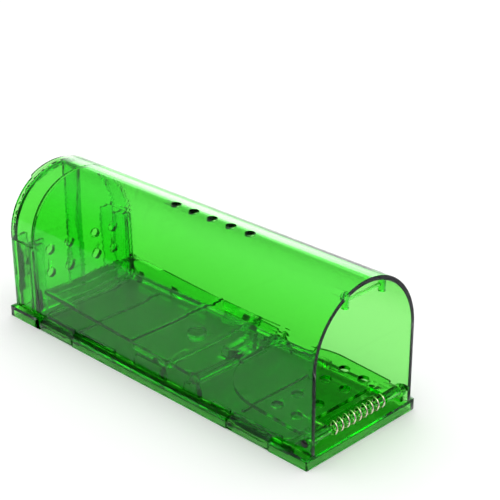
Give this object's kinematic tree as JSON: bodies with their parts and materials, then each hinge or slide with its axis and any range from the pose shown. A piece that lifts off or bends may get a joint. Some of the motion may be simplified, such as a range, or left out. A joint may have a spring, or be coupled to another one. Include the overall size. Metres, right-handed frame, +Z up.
{
  "type": "live-catch mouse trap",
  "caption": "See-through green live-catch mouse trap: arched tunnel on a tray, spring door, tilting treadle, plated spring and a lift-out bait cap with a perforated wall.",
  "frame": {"origin": "on the table under the middle of the tray", "axes": "+Z up, +Y along the tunnel from the entrance at -Y to the bait end at +Y, +X to the right for a mouse going in"},
  "size_m": [0.0586, 0.17, 0.0633],
  "materials": {
    "green_tray": "clear green moulded styrene, glossy",
    "green_cover": "clear green moulded styrene, glossy",
    "green_door": "clear green moulded styrene, glossy",
    "green_treadle": "clear green moulded styrene, glossy",
    "green_cap": "clear green moulded styrene, glossy",
    "green_screen": "clear green moulded styrene, glossy",
    "green_rod": "clear green moulded styrene rod, glossy",
    "spring_steel": "plated spring wire",
    "dark_steel": "blackened push-on cap"
  },
  "bodies": {
    "tray": {"base_tray": "green_tray", "tunnel_cover": "green_cover", "door_rod": "green_rod", "rod_end_caps": "dark_steel", "door_spring": "spring_steel"},
    "door": {"front_door": "green_door"},
    "treadle": {"treadle": "green_treadle", "treadle_pin": "green_rod"},
    "cap": {"bait_cap": "green_cap", "bait_screen": "green_screen"}
  },
  "joints": [
    {"name": "door_hinge", "type": "hinge", "parent": "tray", "child": "door", "pos_m": [0, -0.082, 0.009], "axis": [1, 0, 0], "range_deg": [0, 83.5], "deforming": ["door_spring"]},
    {"name": "treadle_hinge", "type": "hinge", "parent": "tray", "child": "treadle", "pos_m": [0, -0.0245, 0.01], "axis": [-1, 0, 0], "range_deg": [0, 2.3]},
    {"name": "cap_slide", "type": "slide", "parent": "tray", "child": "cap", "axis": [0, 0, 1], "range_m": [0, 0.036]}
  ]
}
